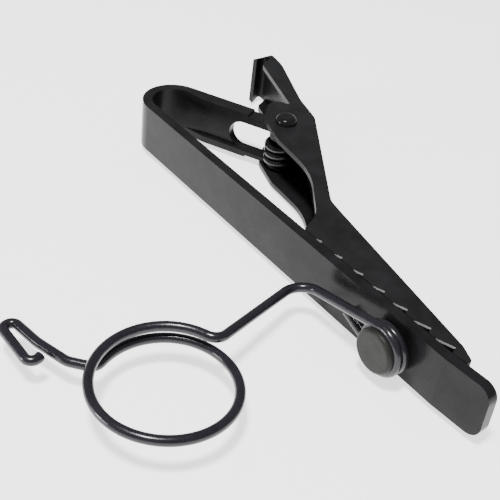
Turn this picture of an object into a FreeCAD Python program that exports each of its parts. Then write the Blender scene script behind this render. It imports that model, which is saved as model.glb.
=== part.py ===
import FreeCAD, Part

# Alligator tie clip with a swivelling wire ring that holds a lavalier microphone.
# All sizes in millimetres. Drawing frame: +X runs along the front bar from the U-bend to the tip,
# +Y runs from the bar towards the jaw lever, +Z is across the strip. The outer face of the bar
# lies on Y = 0. The finished pieces are moved so that the origin is under the centre of the clip.

import math
import os

# Strap: one strip of spring steel, bent into a V
STRAP_WIDTH = 5.0
STRAP_THICK = 1.0
BAR_END_X = 47.2
TIP_BEND_X = 42.5
TIP_BEND_DEG = 4.0
TIP_CORNER_R = 1.3
BEND_OUTER_R = 3.35
BEND_CENTRE_X = -0.1
LEG_DEG = 26.5
LEG_LENGTH = 11.5
FORK_WIDTH = 4.6
FORK_REACH = 4.0
SLOT_WIDTH = 3.0
SLOT_MID_Z = 2.15
SLOT_REACH = 6.2
RIM_DEPTH = 1.5
RIM_THICK = 0.7

# Hinge
PIN_X = 9.22
PIN_Y = 10.62
PIN_R = 0.75
PIN_RUNNING_GAP = 0.05
KNUCKLE_R = 1.5
PIN_HEAD_R = 1.1
PIN_HEAD_HIGH = 0.7
PIN_TAIL_R = 1.0
PIN_TAIL_HIGH = 0.3

# Jaw lever: pressed channel
SHEET = 0.5
TAB_END_X = -4.46
TAB_CORNER_R = 1.3
HINGE_OUTER_WIDTH = 5.7
JAW_OUTER_WIDTH = 5.0
TAPER_START_X = 11.0
TAPER_END_X = 24.0
JAW_GAP = 0.06
TOOTH_COUNT = 7
TOOTH_FIRST_X = 25.9
TOOTH_PITCH = 2.44
TOOTH_RAMP = 0.5
TOOTH_RAMP_GROWTH = 0.18
TOOTH_DEPTH = 0.2
TOOTH_DEPTH_GROWTH = 0.07
TOOTH_BACK = 0.25
NOSE_X = 43.85

# Torsion spring
SPRING_WIRE = 0.7
SPRING_MEAN_R = 1.55
SPRING_PITCH = 0.82
SPRING_TURNS = 3
SPRING_START_DEG = 220.0
SPRING_LEAN_DEG = 1.35
SPRING_TAB_LEG = 7.2
SPRING_STRAP_LEG = 6.8

# Wire microphone holder
HOLDER_WIRE = 0.86
RIVET_X = 37.4
EYE_MEAN_R = 2.0
EYE_PITCH = 0.9
EYE_CLEAR = 0.03
EYE_START_DEG = -111.0
EYE_STUB = 4.6
ARM_DROP_DEG = 12.9
ARM_LENGTH = 10.0
RING_X = 32.09
RING_Y = -18.21
RING_MEAN_R = 5.64
RING_PITCH = 1.22
RING_ENTRY_DEG = 115.0
RING_SWEEP_DEG = 448.0
RING_ENTRY_Z = 3.32
BEND_R = 1.1
ELBOW_R = 1.7

# Holder rivet
RIVET_POST_R = 1.5
RIVET_HEAD_R = 2.0
RIVET_HEAD_HIGH = 0.45
RIVET_TAIL_R = 1.8
RIVET_TAIL_HIGH = 0.35

MID_Z = STRAP_WIDTH / 2
LEG_COS = math.cos(math.radians(LEG_DEG))
LEG_SIN = math.sin(math.radians(LEG_DEG))


def vec(x, y, z=0.0):
    return FreeCAD.Vector(x, y, z)


def rounded_edges(corners, closed):
    """Lines through (point, radius) corners, with a tangent arc at each corner that has a radius."""
    count = len(corners)
    entries = []
    exits = []
    arcs = []
    for i, (point, radius) in enumerate(corners):
        end = not closed and i in (0, count - 1)
        if end or radius == 0:
            entries.append(point)
            exits.append(point)
            arcs.append(None)
            continue
        back = (corners[i - 1][0] - point).normalize()
        ahead = (corners[(i + 1) % count][0] - point).normalize()
        half = back.getAngle(ahead) / 2
        reach = radius / math.tan(half)
        start = point + back * reach
        finish = point + ahead * reach
        bisector = (back + ahead).normalize()
        middle = point + bisector * (radius / math.sin(half) - radius)
        entries.append(start)
        exits.append(finish)
        arcs.append(Part.Arc(start, middle, finish).toShape())
    edges = []
    last = count if closed else count - 1
    for i in range(count):
        if arcs[i]:
            edges.append(arcs[i])
        if i < last:
            a = exits[i]
            b = entries[(i + 1) % count]
            if a.distanceToPoint(b) > 1e-6:
                edges.append(Part.makeLine(a, b))
    return edges


def plate(corners, z_low, z_high):
    """A flat plate whose outline is given as (x, y, corner radius) in the XY plane."""
    points = [(vec(x, y, z_low), r) for x, y, r in corners]
    wire = Part.Wire(rounded_edges(points, True))
    return Part.Face(wire).extrude(vec(0, 0, z_high - z_low))


def cylinder(radius, length, base, axis):
    return Part.makeCylinder(radius, length, base, axis)


def domed_head(radius, height, base, axis):
    """A round head with a flat-topped dome, standing on base along axis."""
    head = Part.makeCylinder(radius, height, base, axis)
    top = [e for e in head.Edges if abs((e.CenterOfMass - base).dot(axis) - height) < 1e-6]
    return head.makeFillet(height * 0.75, top)


def tube(edges, diameter):
    """Round wire along a smooth chain of lines and arcs."""
    path = Part.Wire(edges)
    start = path.OrderedEdges[0]
    origin = start.valueAt(start.FirstParameter)
    heading = start.tangentAt(start.FirstParameter)
    far = start.valueAt(start.LastParameter)
    if path.OrderedVertexes[0].Point.distanceToPoint(origin) > 1e-6:
        origin = far
        heading = start.tangentAt(start.LastParameter) * -1
    section = Part.Wire(Part.makeCircle(diameter / 2, origin, heading))
    return path.makePipeShell([section], True, False)


def coil_edges(centre, u, v, axis, radius, pitch, start_deg, sweep_deg):
    """A coil made of arcs of up to half a turn. u and v span its plane and axis is the way it climbs.

    Each half turn is a plane arc tilted by half a pitch, so neighbours share a level tangent.
    """
    edges = []
    done = 0.0
    while done < sweep_deg - 1e-6:
        span = min(180.0, sweep_deg - done)
        points = []
        for fraction in (0.0, 0.5, 1.0):
            turned = math.radians(span * fraction)
            angle = math.radians(start_deg + done) + turned
            rise = pitch / 2 * (done / 180.0 + (1 - math.cos(turned)) / 2)
            points.append(centre + u * (radius * math.cos(angle)) + v * (radius * math.sin(angle))
                          + axis * rise)
        edges.append(Part.Arc(*points).toShape())
        done += span
    return edges


def make_strap():
    outer = BEND_OUTER_R
    inner = BEND_OUTER_R - STRAP_THICK
    centre = vec(BEND_CENTRE_X, outer)
    along = vec(LEG_COS, LEG_SIN)
    away = vec(-LEG_SIN, LEG_COS)
    tip = math.radians(TIP_BEND_DEG)
    tip_run = (BAR_END_X - TIP_BEND_X) / math.cos(tip)
    tip_along = vec(math.cos(tip), math.sin(tip))
    tip_up = vec(-math.sin(tip), math.cos(tip))
    bend_low = vec(TIP_BEND_X, 0)
    shift = STRAP_THICK * math.tan(tip / 2)
    bend_high = vec(TIP_BEND_X - shift, STRAP_THICK)
    tip_low = bend_low + tip_along * tip_run
    tip_high = tip_low + tip_up * STRAP_THICK
    leg_end_out = centre + away * outer + along * LEG_LENGTH
    leg_end_in = centre + away * inner + along * LEG_LENGTH
    mid_angle = math.radians((270 + 90 + LEG_DEG) / 2)
    middle = vec(math.cos(mid_angle), math.sin(mid_angle))
    edges = [
        Part.makeLine(tip_low, bend_low),
        Part.makeLine(bend_low, vec(BEND_CENTRE_X, 0)),
        Part.Arc(vec(BEND_CENTRE_X, 0), centre + middle * outer, centre + away * outer).toShape(),
        Part.makeLine(centre + away * outer, leg_end_out),
        Part.makeLine(leg_end_out, leg_end_in),
        Part.makeLine(leg_end_in, centre + away * inner),
        Part.Arc(centre + away * inner, centre + middle * inner, vec(BEND_CENTRE_X, STRAP_THICK)).toShape(),
        Part.makeLine(vec(BEND_CENTRE_X, STRAP_THICK), bend_high),
        Part.makeLine(bend_high, tip_high),
        Part.makeLine(tip_high, tip_low),
    ]
    band = Part.Face(Part.Wire(edges)).extrude(vec(0, 0, STRAP_WIDTH))
    tip_edges = []
    for edge in band.Edges:
        ends = [v.Point for v in edge.Vertexes]
        if len(ends) == 2 and min(p.x for p in ends) > TIP_BEND_X + 1 and abs(ends[0].z - ends[1].z) < 1e-6:
            if ends[0].distanceToPoint(ends[1]) < STRAP_THICK + 1e-3:
                tip_edges.append(edge)
    band = band.makeFillet(TIP_CORNER_R, tip_edges)
    rim_top = centre + away * inner
    rim_low = away * (STRAP_THICK - RIM_DEPTH)
    rim = [(rim_top, 0), (rim_top + along * (RIM_DEPTH + 1) + rim_low, 4.0),
           (rim_top + along * LEG_LENGTH + rim_low, 0), (rim_top + along * LEG_LENGTH, 0)]
    rim_face = Part.Face(Part.Wire(rounded_edges(rim, True)))
    for z in (0, STRAP_WIDTH - RIM_THICK):
        rail = rim_face.extrude(vec(0, 0, RIM_THICK))
        rail.translate(vec(0, 0, z))
        band = band.fuse(rail)
    band = band.fuse(cylinder(KNUCKLE_R, STRAP_WIDTH, vec(PIN_X, PIN_Y), vec(0, 0, 1)))
    turned = FreeCAD.Rotation(vec(0, 0, 1), LEG_DEG)
    side = (STRAP_WIDTH - FORK_WIDTH) / 2
    for z in (0, STRAP_WIDTH - side):
        trim = Part.makeBox(FORK_REACH * 2, FORK_REACH * 2, side)
        trim.Placement = FreeCAD.Placement(
            vec(PIN_X, PIN_Y, z) - turned.multVec(vec(FORK_REACH, FORK_REACH)), turned)
        band = band.cut(trim)
    slot_box = Part.makeBox(SLOT_REACH - SLOT_WIDTH / 2 + KNUCKLE_R + 1, KNUCKLE_R * 4, SLOT_WIDTH)
    slot_base = vec(-SLOT_REACH + SLOT_WIDTH / 2, -KNUCKLE_R * 2)
    slot_box.Placement = FreeCAD.Placement(
        vec(PIN_X, PIN_Y, SLOT_MID_Z - SLOT_WIDTH / 2) + turned.multVec(slot_base), turned)
    slot_end = cylinder(SLOT_WIDTH / 2, KNUCKLE_R * 4,
                        vec(PIN_X, PIN_Y, SLOT_MID_Z) + turned.multVec(slot_base), away)
    band = band.cut(slot_box).cut(slot_end)
    band = band.cut(cylinder(PIN_R + PIN_RUNNING_GAP, STRAP_WIDTH, vec(PIN_X, PIN_Y), vec(0, 0, 1)))
    band = band.cut(cylinder(RIVET_POST_R, STRAP_THICK, vec(RIVET_X, 0, MID_Z), vec(0, 1, 0)))
    return band.removeSplitter()


def lever_outline():
    """Side view of the lever: thumb lip, tab, hinge corner, body, arm, nose, teeth, throat and ear."""
    face = STRAP_THICK + JAW_GAP
    back = [
        (-4.0, 16.3, 0),
        (-5.05, 18.85, 0.95),
        (-1.2, 18.15, 6.0),
        (6.2, 14.95, 4.0),
        (9.8, 13.95, 2.0),
        (22.0, 5.95, 2.0),
        (42.3, 2.33, 1.8),
        (NOSE_X + 0.1, 1.66, 0.4),
        (NOSE_X, face + 0.13, 0),
        (TIP_BEND_X, face, 0),
    ]
    teeth = []
    for i in reversed(range(TOOTH_COUNT)):
        start = TOOTH_FIRST_X + i * TOOTH_PITCH
        ramp = TOOTH_RAMP + i * TOOTH_RAMP_GROWTH
        depth = TOOTH_DEPTH + i * TOOTH_DEPTH_GROWTH
        teeth.append((start + ramp + TOOTH_BACK, face, 0))
        teeth.append((start + ramp, face + depth, 0))
        teeth.append((start, face, 0))
    front = [
        (24.2, face, 0.3),
        (23.2, 3.3, 4.5),
        (17.6, 7.2, 9.0),
        (11.3, 7.9, 4.0),
        (7.45, 9.15, 1.6),
        (5.35, 11.3, 1.0),
        (5.35, 12.75, 0.8),
        (6.7, 13.25, 0.2),
        (-2.1, 16.15, 0.7),
        (-3.0, 17.95, 0),
    ]
    inside = [
        (-4.35, 18.2, 0.45),
        (-3.55, 16.45, 0),
    ]
    return back + teeth + front + inside


def lever_hollow():
    """The space under the web, as a side view that reaches past the free edges."""
    return [
        (-3.4, 18.02, 0),
        (-1.36, 17.64, 5.5),
        (6.0, 14.46, 4.5),
        (9.54, 13.48, 1.5),
        (21.82, 5.48, 2.5),
        (42.2, 1.84, 1.3),
        (NOSE_X - SHEET, 1.4, 0.3),
        (NOSE_X - SHEET, -3.0, 0),
        (-3.4, -3.0, 0),
    ]


def width_wedge(hinge_width, jaw_width, start_x, corner):
    """A slab that is wide from the thumb tab to the hinge and narrows to the jaw."""
    a = hinge_width / 2
    b = jaw_width / 2
    outline = [(start_x, -a, corner), (TAPER_START_X, -a, 0), (TAPER_END_X, -b, 0), (60, -b, 0),
               (60, b, 0), (TAPER_END_X, b, 0), (TAPER_START_X, a, 0), (start_x, a, corner)]
    points = [(vec(x, -10, MID_Z + z), r) for x, z, r in outline]
    return Part.Face(Part.Wire(rounded_edges(points, True))).extrude(vec(0, 40, 0))


def make_lever():
    low = MID_Z - HINGE_OUTER_WIDTH / 2
    high = MID_Z + HINGE_OUTER_WIDTH / 2
    body = plate(lever_outline(), low, high).common(
        width_wedge(HINGE_OUTER_WIDTH, JAW_OUTER_WIDTH, TAB_END_X, TAB_CORNER_R))
    hollow = plate(lever_hollow(), low, high).common(
        width_wedge(HINGE_OUTER_WIDTH - 2 * SHEET, JAW_OUTER_WIDTH - 2 * SHEET, -10, 0))
    lever = body.cut(hollow)
    lever = lever.cut(cylinder(PIN_R, HINGE_OUTER_WIDTH, vec(PIN_X, PIN_Y, low), vec(0, 0, 1)))
    return lever.removeSplitter()


def make_hinge_pin():
    low = MID_Z - HINGE_OUTER_WIDTH / 2
    up = vec(0, 0, 1)
    shank = cylinder(PIN_R, HINGE_OUTER_WIDTH, vec(PIN_X, PIN_Y, low), up)
    head = domed_head(PIN_HEAD_R, PIN_HEAD_HIGH, vec(PIN_X, PIN_Y, low + HINGE_OUTER_WIDTH), up)
    tail = domed_head(PIN_TAIL_R, PIN_TAIL_HIGH, vec(PIN_X, PIN_Y, low), up * -1)
    return shank.fuse([head, tail]).removeSplitter()


def make_spring():
    """Torsion spring: a coil on the pin, with one leg under the tab and one on the strap."""
    sweep = LEG_DEG + 90 + SPRING_LEAN_DEG - SPRING_START_DEG + 360 * SPRING_TURNS
    rise = SPRING_PITCH * sweep / 360
    centre = vec(PIN_X, PIN_Y, SLOT_MID_Z - rise / 2)
    coil = coil_edges(centre, vec(1, 0), vec(0, 1), vec(0, 0, 1), SPRING_MEAN_R, SPRING_PITCH,
                      SPRING_START_DEG, sweep)
    first = coil[0].valueAt(coil[0].FirstParameter)
    last = coil[-1].valueAt(coil[-1].LastParameter)
    tab_heading = coil[0].tangentAt(coil[0].FirstParameter) * -1
    strap_heading = coil[-1].tangentAt(coil[-1].LastParameter)
    edges = [Part.makeLine(first + tab_heading * SPRING_TAB_LEG, first)]
    edges += coil
    edges.append(Part.makeLine(last, last + strap_heading * SPRING_STRAP_LEG))
    return tube(edges, SPRING_WIRE)


def make_holder_wire():
    eye_y = -(HOLDER_WIRE / 2 + EYE_CLEAR)
    eye = vec(RIVET_X, eye_y, MID_Z)
    right = vec(1, 0, 0)
    up = vec(0, 0, 1)
    out = vec(0, -1, 0)
    end_rad = math.radians(EYE_START_DEG)
    low_tangent = eye + right * (EYE_MEAN_R * math.cos(end_rad)) + up * (EYE_MEAN_R * math.sin(end_rad))
    end_heading = right * math.sin(end_rad) + up * -math.cos(end_rad)
    cut_end = low_tangent + end_heading * EYE_STUB
    edges = [Part.makeLine(cut_end, low_tangent)]
    edges += coil_edges(eye, right, up, out, EYE_MEAN_R, 0.0, EYE_START_DEG,
                        -90 - EYE_START_DEG)
    edges += coil_edges(eye, right, up, out, EYE_MEAN_R, EYE_PITCH, -90, 360)
    lifted = eye + out * EYE_PITCH
    arm_deg = 90 + ARM_DROP_DEG
    edges += coil_edges(lifted, right, up, out, EYE_MEAN_R, 0.0, -90, 180)
    edges += coil_edges(lifted, right, up, out, EYE_MEAN_R, 0.0, 90, ARM_DROP_DEG)
    arm_rad = math.radians(arm_deg)
    arm_start = lifted + right * (EYE_MEAN_R * math.cos(arm_rad)) + up * (EYE_MEAN_R * math.sin(arm_rad))
    arm_heading = right * -math.sin(arm_rad) + up * math.cos(arm_rad)
    elbow = arm_start + arm_heading * ARM_LENGTH

    centre = vec(RING_X, RING_Y, RING_ENTRY_Z)
    coil = coil_edges(centre, right, vec(0, 1), up * -1, RING_MEAN_R, RING_PITCH, RING_ENTRY_DEG,
                      RING_SWEEP_DEG)
    entry = coil[0].valueAt(coil[0].FirstParameter)
    entry_heading = coil[0].tangentAt(coil[0].FirstParameter)
    leave = coil[-1].valueAt(coil[-1].LastParameter)
    leave_heading = coil[-1].tangentAt(coil[-1].LastParameter)
    entry_corner = entry - entry_heading * (BEND_R * 1.1)
    leave_corner = leave + leave_heading * (BEND_R * 0.9)
    level = leave_corner.z
    edges += rounded_edges([(arm_start, 0), (elbow, ELBOW_R), (entry_corner, BEND_R), (entry, 0)], False)
    edges += coil
    tail = [
        (leave, 0),
        (leave_corner, BEND_R * 0.8),
        (vec(25.6, -22.85, level), 1.5),
        (vec(22.6, -23.8, level), 5.0),
        (vec(19.45, -24.3, level), 0.6),
        (vec(19.7, -25.45, level), 0.6),
        (vec(24.65, -25.4, level), 0.6),
        (vec(24.1, -24.3, level), 0),
    ]
    edges += rounded_edges(tail, False)
    return tube(edges, HOLDER_WIRE)


def make_holder_rivet():
    under_head = 2 * EYE_CLEAR + HOLDER_WIRE + EYE_PITCH
    out = vec(0, -1, 0)
    base = vec(RIVET_X, STRAP_THICK, MID_Z)
    post = cylinder(RIVET_POST_R, under_head + STRAP_THICK, base, out)
    head = domed_head(RIVET_HEAD_R, RIVET_HEAD_HIGH, vec(RIVET_X, -under_head, MID_Z), out)
    tail = domed_head(RIVET_TAIL_R, RIVET_TAIL_HIGH, base, vec(0, 1, 0))
    return post.fuse([head, tail]).removeSplitter()


def main():
    pieces = {
        "strap": make_strap(),
        "jaw_lever": make_lever(),
        "hinge_pin": make_hinge_pin(),
        "torsion_spring": make_spring(),
        "mic_holder_wire": make_holder_wire(),
        "holder_rivet": make_holder_rivet(),
    }
    box = Part.makeCompound(list(pieces.values())).BoundBox
    shift = vec(-box.Center.x, -box.Center.y, -box.ZMin)
    print("hinge at", vec(PIN_X, PIN_Y, MID_Z) + shift)
    print("rivet at", vec(RIVET_X, 0, MID_Z) + shift)
    print("ring at", vec(RING_X, RING_Y, RING_ENTRY_Z) + shift)
    print("shift", shift)
    os.makedirs("parts", exist_ok=True)
    for name, shape in pieces.items():
        shape.translate(shift)
        print(name, shape.isValid(), len(shape.Solids), round(shape.Volume, 3), shape.BoundBox)
        shape.exportStep(os.path.join("parts", name + ".step"))


main()
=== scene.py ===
import math

import bpy
from mathutils import Matrix, Vector


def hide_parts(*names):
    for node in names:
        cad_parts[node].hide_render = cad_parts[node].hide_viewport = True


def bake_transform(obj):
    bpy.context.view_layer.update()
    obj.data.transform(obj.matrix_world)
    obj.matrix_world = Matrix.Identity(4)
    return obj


# Black steel tie clip with a wire microphone ring, lying on its side on a pale table. Metres.

# Camera: where it stands in the row frame, and how it is turned
CAMERA_AT = Vector((0.05408, -0.04510, 0.05611))
CAMERA_AZIMUTH_DEG = 49.41
CAMERA_ELEVATION_DEG = 36.88
CAMERA_ROLL_DEG = 7.14
CAMERA_LENS_MM = 72.0
CAMERA_SENSOR_MM = 36.0

# Where the teeth are, on the closed jaw
TEETH_X = (0.0040, 0.0220)
TEETH_Y = (0.0045, 0.0060)
TEETH_INNER_Z = (0.00085, 0.00545)
# Painted highlight on the teeth: ramps whose normal Y lies in this range get this light-grey colour on their
# outer rims, standing in for glints
RAMP_FACING = (-0.975, -0.85)
TOOTH_GLINT_COLOUR = (0.45, 0.45, 0.44)

# Table: half its side, its two mottled tones, and a little light of its own to keep it pale
FLOOR_HALF = 1.2
FLOOR_Z = 0.0
FLOOR_TONES = ((0.93, 0.93, 0.93), (0.96, 0.96, 0.96))
FLOOR_MOTTLE_SCALE = 25.0
FLOOR_ROUGHNESS = 0.7
FLOOR_GLOW = 1.6

# Lights: where each stands, the side of its square, and its watts
KEY_LIGHT = ((-0.10, -0.25, 0.035), 0.06, 0.45)
TOP_LIGHT = ((0.03, -0.08, 0.30), 0.05, 1.6)
WORLD_STRENGTH = 0.35

# Finish: the scales of the mottling and the grain, and the depth of the grain
MOTTLE_SCALE = 450.0
GRAIN_SCALE = 6000.0
GRAIN_DEPTH = 0.00003

# Softened sheet edges
EDGE_WIDTH = 0.0001
EDGE_SEGMENTS = 2
EDGE_ANGLE_DEG = 30.0


def camera():
    azimuth = math.radians(CAMERA_AZIMUTH_DEG)
    elevation = math.radians(CAMERA_ELEVATION_DEG)
    roll = math.radians(CAMERA_ROLL_DEG)
    back = Vector((math.sin(azimuth) * math.cos(elevation),
                   -math.cos(azimuth) * math.cos(elevation),
                   math.sin(elevation)))
    level = Vector((math.cos(azimuth), math.sin(azimuth), 0))
    upright = back.cross(level)
    right = level * math.cos(roll) + upright * math.sin(roll)
    up = upright * math.cos(roll) - level * math.sin(roll)
    data = bpy.data.cameras.new("camera")
    data.lens = CAMERA_LENS_MM
    data.sensor_width = CAMERA_SENSOR_MM
    data.clip_start = 0.005
    data.clip_end = 5.0
    cam = bpy.data.objects.new("camera", data)
    cam.matrix_world = Matrix((
        (right.x, up.x, back.x, CAMERA_AT.x),
        (right.y, up.y, back.y, CAMERA_AT.y),
        (right.z, up.z, back.z, CAMERA_AT.z),
        (0, 0, 0, 1),
    ))
    bpy.context.scene.collection.objects.link(cam)
    bpy.context.scene.camera = cam


class Nodes:
    """A new node material, with short calls to add and link its nodes."""

    def __init__(self, name):
        self.material = bpy.data.materials.new(name)
        self.material.use_nodes = True
        self.tree = self.material.node_tree
        self.shader = self.tree.nodes["Principled BSDF"]
        self.where = self.add("ShaderNodeTexCoord")
        self.place = self.where.outputs["Object"]

    def add(self, kind, **settings):
        node = self.tree.nodes.new(kind)
        for key, value in settings.items():
            setattr(node, key, value)
        return node

    def link(self, a, b):
        self.tree.links.new(a, b)

    def noise(self, scale, detail=3.0, roughness=0.5):
        node = self.add("ShaderNodeTexNoise")
        node.inputs["Scale"].default_value = scale
        node.inputs["Detail"].default_value = detail
        node.inputs["Roughness"].default_value = roughness
        self.link(self.place, node.inputs["Vector"])
        return node.outputs["Fac"]

    def spread(self, value, low, high, from_low=0.3, from_high=0.7):
        node = self.add("ShaderNodeMapRange")
        node.inputs["From Min"].default_value = from_low
        node.inputs["From Max"].default_value = from_high
        node.inputs["To Min"].default_value = low
        node.inputs["To Max"].default_value = high
        self.link(value, node.inputs["Value"])
        return node.outputs["Result"]

    def math(self, operation, a, b):
        node = self.add("ShaderNodeMath", operation=operation)
        for value, socket in ((a, node.inputs[0]), (b, node.inputs[1])):
            if isinstance(value, float):
                socket.default_value = value
            else:
                self.link(value, socket)
        return node.outputs[0]

    def between(self, value, low, high):
        """1 where value lies between low and high, otherwise 0."""
        above = self.math("GREATER_THAN", value, low)
        below = self.math("LESS_THAN", value, high)
        return self.math("MULTIPLY", above, below)

    def axes(self, output):
        """The X, Y and Z of one of the texture coordinates."""
        split = self.add("ShaderNodeSeparateXYZ")
        self.link(self.where.outputs[output], split.inputs[0])
        return split.outputs

    def mix(self, factor, a, b):
        node = self.add("ShaderNodeMix", data_type="RGBA")
        self.link(factor, node.inputs["Factor"])
        for colour, socket in ((a, node.inputs[6]), (b, node.inputs[7])):
            if isinstance(colour, tuple):
                socket.default_value = (*colour, 1.0)
            else:
                self.link(colour, socket)
        return node.outputs[2]


def black_finish(name, dark, light, rough_low, rough_high, bump, shine):
    """Blackened steel with faint mottling and a fine grain."""
    n = Nodes(name)
    broad = n.noise(MOTTLE_SCALE, 4.0, 0.6)
    fine = n.noise(GRAIN_SCALE, 2.0, 0.6)
    base = n.mix(n.spread(broad, 0.0, 1.0), dark, light)
    n.link(base, n.shader.inputs["Base Color"])
    n.link(n.spread(fine, rough_low, rough_high), n.shader.inputs["Roughness"])
    grain = n.add("ShaderNodeBump")
    grain.inputs["Strength"].default_value = bump
    grain.inputs["Distance"].default_value = GRAIN_DEPTH
    n.link(fine, grain.inputs["Height"])
    n.link(grain.outputs["Normal"], n.shader.inputs["Normal"])
    n.shader.inputs["Specular IOR Level"].default_value = shine
    return n


def paint_tooth_glints(n):
    """Painted highlight: a light-grey colour along the outer rim of each tooth's ramp, on ramps that face
    one way, stands in for the glints on the teeth.
    """
    place = n.axes("Object")
    along = n.between(place["X"], *TEETH_X)
    near = n.between(place["Y"], *TEETH_Y)
    ramp = n.between(n.axes("Normal")["Y"], *RAMP_FACING)
    rim = n.math("SUBTRACT", 1.0, n.between(place["Z"], *TEETH_INNER_Z))
    glint_mask = n.math("MULTIPLY", n.math("MULTIPLY", along, near), n.math("MULTIPLY", ramp, rim))
    base = n.shader.inputs["Base Color"]
    # painted highlight: the masked ramp rims take the light-grey glint colour instead of the black
    n.link(n.mix(glint_mask, base.links[0].from_socket, TOOTH_GLINT_COLOUR), base)


def paint(node, finish):
    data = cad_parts[node].data
    data.materials.clear()
    data.materials.append(finish.material)


def soften(node):
    """Rounds a node's sharp edges a little, so that they catch the light."""
    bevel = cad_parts[node].modifiers.new("soft edges", "BEVEL")
    bevel.width = EDGE_WIDTH
    bevel.segments = EDGE_SEGMENTS
    bevel.limit_method = "ANGLE"
    bevel.angle_limit = math.radians(EDGE_ANGLE_DEG)
    bevel.harden_normals = True


def winding_spring():
    """Copies the spring's mesh into a new object, baked into world space, and hides the spring node."""
    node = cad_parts["torsion_spring"]
    coil = bpy.data.objects.new("spring_coil", node.data.copy())
    bpy.context.scene.collection.objects.link(coil)
    bpy.context.view_layer.update()
    coil.matrix_world = node.matrix_world.copy()
    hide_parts("torsion_spring")
    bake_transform(coil)


def floor():
    mesh = bpy.data.meshes.new("floor")
    h = FLOOR_HALF
    corners = [(x, y, FLOOR_Z) for x, y in ((-h, -h), (h, -h), (h, h), (-h, h))]
    mesh.from_pydata(corners, [], [(0, 1, 2, 3)])
    plane = bpy.data.objects.new("floor", mesh)
    bpy.context.scene.collection.objects.link(plane)
    n = Nodes("table top")
    mottle = n.spread(n.noise(FLOOR_MOTTLE_SCALE), 0.0, 1.0)
    n.link(n.mix(mottle, *FLOOR_TONES), n.shader.inputs["Base Color"])
    n.shader.inputs["Roughness"].default_value = FLOOR_ROUGHNESS
    n.shader.inputs["Emission Color"].default_value = (1.0, 1.0, 1.0, 1.0)
    n.shader.inputs["Emission Strength"].default_value = FLOOR_GLOW
    mesh.materials.append(n.material)


def area_light(name, at, side, watts):
    """A square light that faces the object."""
    data = bpy.data.lights.new(name, "AREA")
    data.shape = "RECTANGLE"
    data.size = side
    data.size_y = side
    data.energy = watts
    light = bpy.data.objects.new(name, data)
    light.location = at
    light.rotation_euler = (-Vector(at)).to_track_quat("-Z", "Y").to_euler()
    bpy.context.scene.collection.objects.link(light)


def lights():
    world = bpy.data.worlds.new("studio")
    bpy.context.scene.world = world
    world.use_nodes = True
    background = world.node_tree.nodes["Background"]
    background.inputs["Color"].default_value = (1.0, 1.0, 1.0, 1.0)
    background.inputs["Strength"].default_value = WORLD_STRENGTH
    area_light("key", *KEY_LIGHT)
    area_light("top", *TOP_LIGHT)


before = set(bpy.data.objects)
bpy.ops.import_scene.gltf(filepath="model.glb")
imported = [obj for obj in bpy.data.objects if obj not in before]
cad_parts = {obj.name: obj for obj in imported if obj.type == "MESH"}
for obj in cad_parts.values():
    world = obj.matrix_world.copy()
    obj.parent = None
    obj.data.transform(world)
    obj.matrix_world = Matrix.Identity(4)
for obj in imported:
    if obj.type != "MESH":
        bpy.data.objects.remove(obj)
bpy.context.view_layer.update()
camera()

strip = black_finish("black strip", (0.006, 0.006, 0.0065), (0.013, 0.013, 0.014), 0.17, 0.28, 0.35, 0.11)
lever = black_finish("black lever", (0.006, 0.006, 0.0065), (0.013, 0.013, 0.014), 0.34, 0.5, 0.3, 0.16)
# Painted highlight (glints) on the rims of the tooth ramps
paint_tooth_glints(lever)
wire = black_finish("black wire", (0.007, 0.006, 0.009), (0.013, 0.011, 0.016), 0.18, 0.3, 0.1, 0.4)
spring = black_finish("spring wire", (0.006, 0.006, 0.0065), (0.012, 0.012, 0.012), 0.16, 0.26, 0.1, 0.35)
rivet = black_finish("rivet steel", (0.009, 0.010, 0.0085), (0.018, 0.019, 0.016), 0.4, 0.55, 0.15, 0.16)
pin = black_finish("pin steel", (0.006, 0.006, 0.0065), (0.010, 0.010, 0.011), 0.14, 0.22, 0.1, 0.12)
finishes = {
    "strap": strip,
    "jaw_lever": lever,
    "hinge_pin": pin,
    "torsion_spring": spring,
    "mic_holder_wire": wire,
    "holder_rivet": rivet,
}
for node, finish in finishes.items():
    paint(node, finish)
winding_spring()
for node in ("strap", "jaw_lever"):
    soften(node)

floor()
lights()
